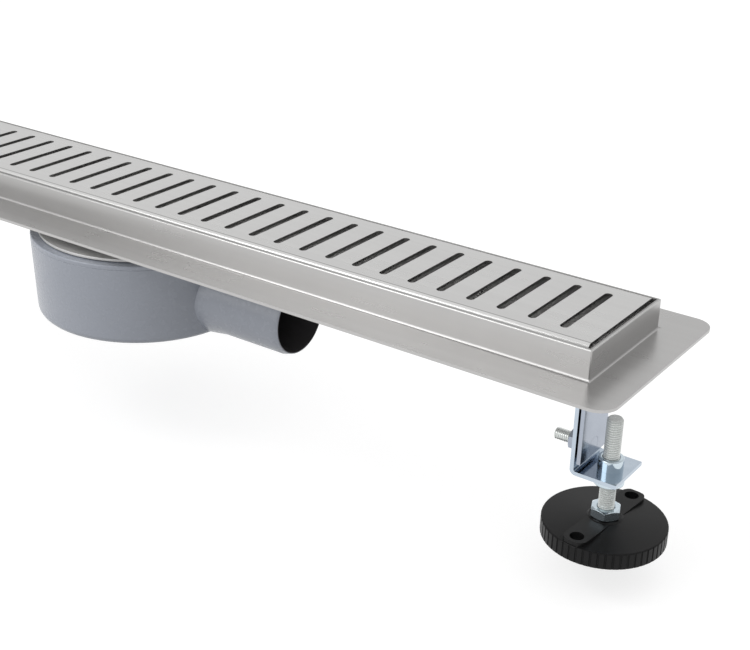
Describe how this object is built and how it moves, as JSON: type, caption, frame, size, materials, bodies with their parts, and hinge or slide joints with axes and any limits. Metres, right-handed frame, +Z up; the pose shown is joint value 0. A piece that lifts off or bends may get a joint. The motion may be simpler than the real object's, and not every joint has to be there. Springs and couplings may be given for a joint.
{
  "type": "linear shower drain",
  "caption": "Slotted cover in a flanged channel that drains through a round floor trap with a horizontal outlet, on screw feet.",
  "frame": {"origin": "on the floor under the middle of the channel, midway between the feet", "axes": "+X along the channel and out of the waste pipe, +Y across it to the back, +Z up"},
  "size_m": [0.659, 0.1256, 0.113],
  "materials": {
    "stainless_steel": "brushed along the length, satin",
    "grey_plastic": "moulded, satin light grey",
    "black_plastic": "moulded, satin black",
    "rubber": "moulded soft rubber",
    "zinc_steel": "bright zinc plate with a bluish cast"
  },
  "bodies": {
    "drain": {"channel": "stainless_steel", "slotted_cover": "stainless_steel", "outlet_disc": "stainless_steel", "trap_pot": "grey_plastic", "trap_lid": "grey_plastic", "trap_ring_seal": "rubber", "clamp_ring": "grey_plastic", "clamp_seal": "rubber", "dip_tube": "grey_plastic", "dip_tube_seal": "rubber", "trap_cup": "grey_plastic", "hair_strainer": "stainless_steel", "hanger_right": "zinc_steel", "stud_right": "zinc_steel", "stud_washer_right": "zinc_steel", "stud_nut_right": "zinc_steel", "bracket_right": "zinc_steel", "bush_right": "zinc_steel", "hanger_left": "zinc_steel", "stud_left": "zinc_steel", "stud_washer_left": "zinc_steel", "stud_nut_left": "zinc_steel", "bracket_left": "zinc_steel", "bush_left": "zinc_steel"},
    "foot_pad_body_right": {"foot_pad_right": "black_plastic"},
    "spindle_right": {"rod_right": "zinc_steel", "rod_nut_right": "zinc_steel"},
    "foot_pad_body_left": {"foot_pad_left": "black_plastic"},
    "spindle_left": {"rod_left": "zinc_steel", "rod_nut_left": "zinc_steel"}
  },
  "joints": [
    {"name": "foot_height_right", "type": "slide", "parent": "drain", "child": "foot_pad_body_right", "axis": [0, 0, -1], "range_m": [-0.0125, 0.02]},
    {"name": "foot_turn_right", "type": "hinge", "parent": "foot_pad_body_right", "child": "spindle_right", "pos_m": [0.299, 0, 0.011], "axis": [0, 0, -1], "range_deg": [-3620, 5780]},
    {"name": "foot_height_left", "type": "slide", "parent": "drain", "child": "foot_pad_body_left", "axis": [0, 0, -1], "range_m": [-0.0125, 0.02]},
    {"name": "foot_turn_left", "type": "hinge", "parent": "foot_pad_body_left", "child": "spindle_left", "pos_m": [-0.299, 0, 0.011], "axis": [0, 0, -1], "range_deg": [-3620, 5780]}
  ],
  "couplings": [
    {"joint": "foot_turn_right", "follows": "foot_height_right", "rad_per_m": 5026.5},
    {"joint": "foot_turn_left", "follows": "foot_height_left", "rad_per_m": 5026.5}
  ]
}
